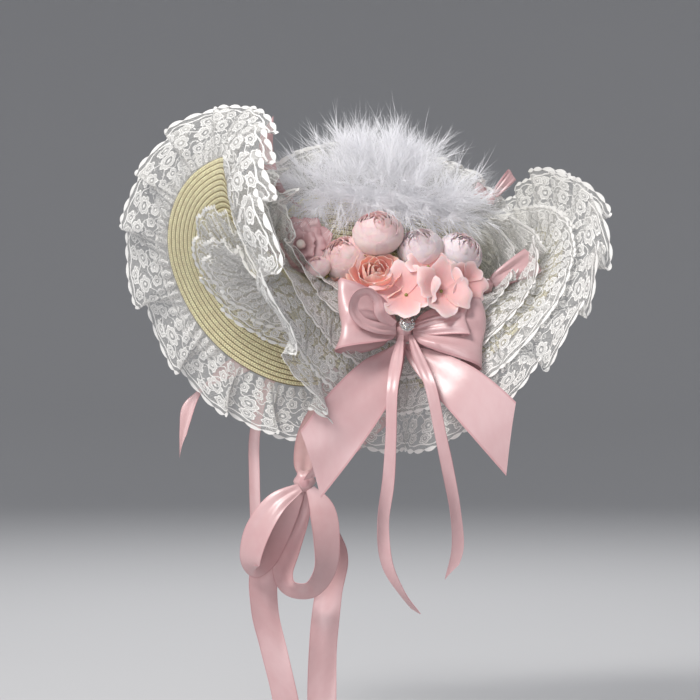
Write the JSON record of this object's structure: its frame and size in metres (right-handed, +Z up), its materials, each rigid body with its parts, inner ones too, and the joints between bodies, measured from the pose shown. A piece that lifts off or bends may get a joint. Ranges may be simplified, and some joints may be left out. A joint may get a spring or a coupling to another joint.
{
  "type": "sun hat",
  "caption": "Wide straw sun hat worn as a bonnet, with lace ruffles, silk flowers, a feather boa, satin bows and a tied chin ribbon.",
  "frame": {"origin": "centre of the crown's mouth, where a head holds the hat", "axes": "+Z up, the hat's front faces -Y, the wearer's left with its trim faces +X, in the worn tilt with the front up"},
  "size_m": [0.4157, 0.3635, 0.5522],
  "materials": {
    "lace": "white floral lace, matte",
    "satin": "pale pink satin ribbon",
    "straw": "sewn cream straw braid",
    "feather": "white down feathers",
    "bud": "pale pink silk ranunculus buds",
    "rose": "coral silk rose",
    "blossom": "pink silk blossoms",
    "pearl": "pearl",
    "stone": "clear cut stones"
  },
  "bodies": {
    "root": {"back_bow_knot": "satin", "back_bow_loop_back": "satin", "back_bow_loop_front": "satin", "bow_brooch": "stone", "bow_knot": "satin", "bow_loop_back": "satin", "bow_loop_back_inner": "satin", "bow_loop_front": "satin", "bow_loop_front_inner": "satin", "bow_streamer_back": "satin", "bow_streamer_front": "satin", "bow_tail_back": "satin", "bow_tail_front": "satin", "brim_ruffle_back": "lace", "brim_ruffle_front": "lace", "bud_1": "bud", "bud_2": "bud", "bud_3": "bud", "bud_4": "bud", "bud_5": "bud", "chin_knot": "satin", "chin_loop_back": "satin", "chin_loop_front": "satin", "chin_strap_far": "satin", "chin_strap_near": "satin", "chin_tail_back": "satin", "chin_tail_front": "satin", "crown_lace": "lace", "edge_ruffle": "lace", "face_ruffle": "lace", "far_bow_knot": "satin", "far_bow_loop_back": "satin", "far_bow_loop_front": "satin", "far_streamer": "satin", "far_tail": "satin", "feather_boa": "feather", "front_ribbon": "satin", "hydrangea_1": "blossom", "hydrangea_2": "blossom", "hydrangea_3": "blossom", "hydrangea_4": "blossom", "rose": "rose", "rosette": "satin", "rosette_pearl": "pearl", "straw_brim": "straw", "straw_crown": "straw", "top_bow_knot": "satin", "top_bow_loop_back": "satin", "top_bow_loop_front": "satin"}
  },
  "joints": []
}
